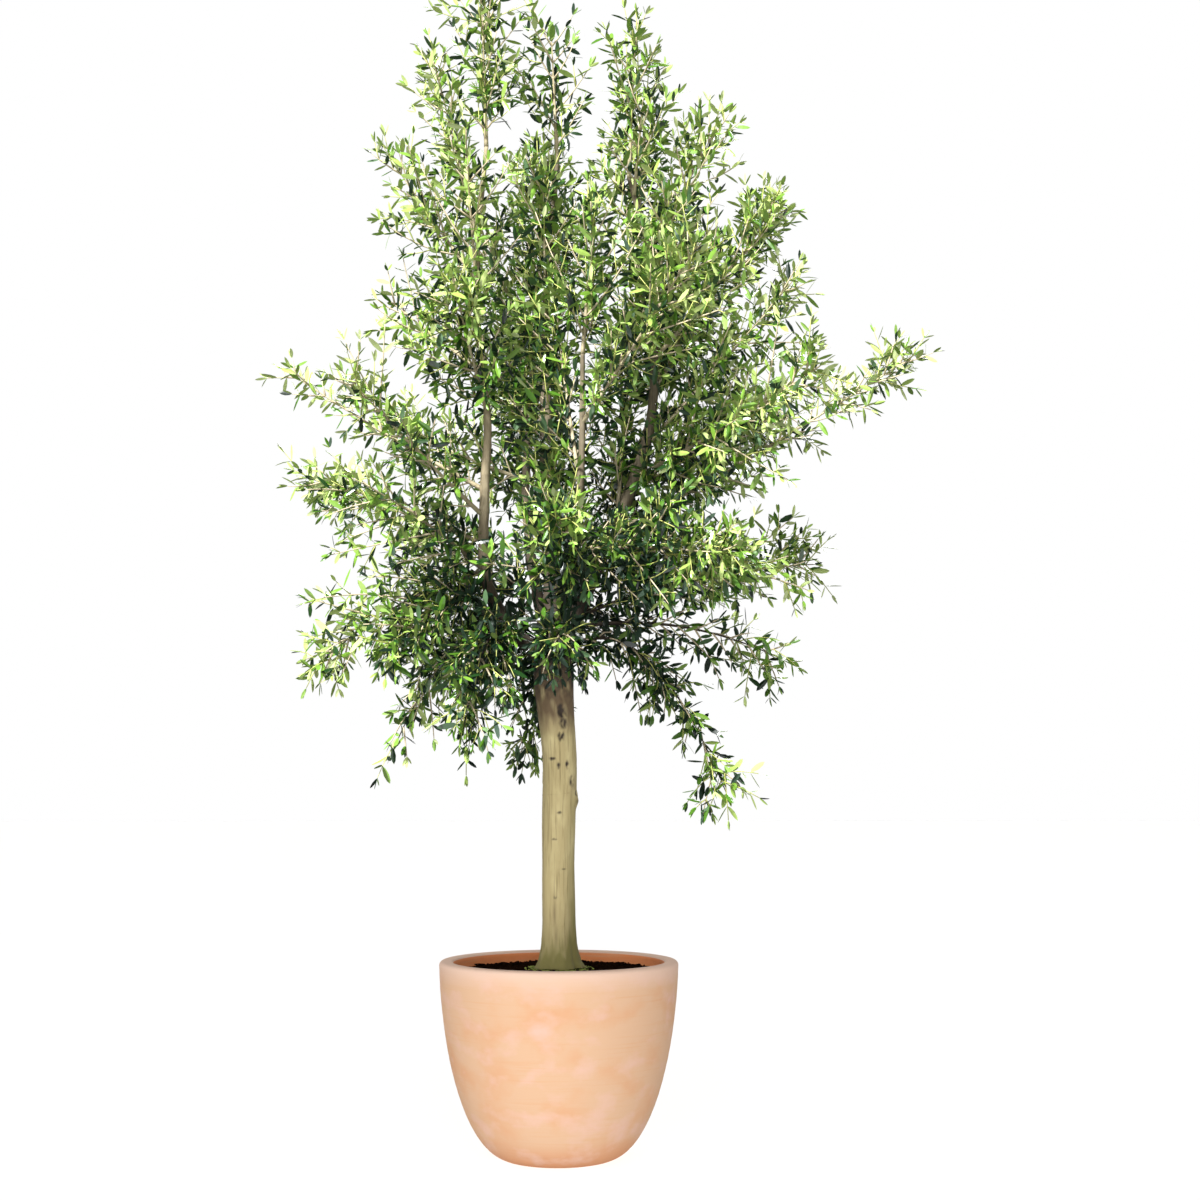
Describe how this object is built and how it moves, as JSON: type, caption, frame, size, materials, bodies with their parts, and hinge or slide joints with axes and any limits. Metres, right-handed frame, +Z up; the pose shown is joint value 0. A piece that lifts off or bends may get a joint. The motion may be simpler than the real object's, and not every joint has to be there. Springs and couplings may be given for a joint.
{
  "type": "potted olive tree",
  "caption": "Tall young olive tree with a clear trunk, upright leaders and an airy crown of narrow leaves, in a round terracotta pot.",
  "frame": {"origin": "centre of the pot's flat underside, on the surface the pot stands on", "axes": "+Z up the tree, +X to the tree's right seen from its front, -Y towards the viewer"},
  "size_m": [1.7194, 1.1712, 2.96],
  "materials": {
    "terracotta": "unglazed fired clay, matt, with pale lime bloom",
    "soil": "dark moist potting soil with crumbs",
    "bark": "smooth young olive bark, khaki, with scars and a mossy foot",
    "foliage": "narrow leathery leaves, green above and silvery beneath"
  },
  "bodies": {
    "root": {"pot": "terracotta", "soil": "soil", "trunk": "bark", "leader_back": "bark", "leader_centre": "bark", "leader_front": "bark", "leader_left": "bark", "leader_right": "bark", "back_tip": "foliage", "centre_tip": "foliage", "core_high_front_left": "foliage", "core_high_right": "foliage", "core_low_front": "foliage", "core_low_right": "foliage", "core_middle_back_left": "foliage", "core_middle_front": "foliage", "core_middle_right": "foliage", "crest_back_right": "foliage", "crest_front_right": "foliage", "crest_left": "foliage", "crest_right": "foliage", "front_tip": "foliage", "high_back_left": "foliage", "high_back_right": "foliage", "high_front_left": "foliage", "high_front_right": "foliage", "high_left": "foliage", "high_right": "foliage", "left_tip": "foliage", "low_back_left": "foliage", "low_back_right": "foliage", "low_front": "foliage", "low_front_left": "foliage", "low_left": "foliage", "low_right": "foliage", "middle_back": "foliage", "middle_back_left": "foliage", "middle_back_right": "foliage", "middle_front_left": "foliage", "middle_front_right": "foliage", "middle_left": "foliage", "middle_right": "foliage", "right_tip": "foliage", "shoulder_back": "foliage", "shoulder_back_right": "foliage", "shoulder_front_left": "foliage", "shoulder_front_right": "foliage", "shoulder_left": "foliage", "shoulder_right": "foliage", "skirt_back": "foliage", "skirt_front_left": "foliage", "skirt_left": "foliage", "skirt_right": "foliage", "waist_back_left": "foliage", "waist_back_right": "foliage", "waist_front": "foliage", "waist_front_left": "foliage", "waist_front_right": "foliage", "waist_left": "foliage", "waist_right": "foliage"}
  },
  "joints": []
}
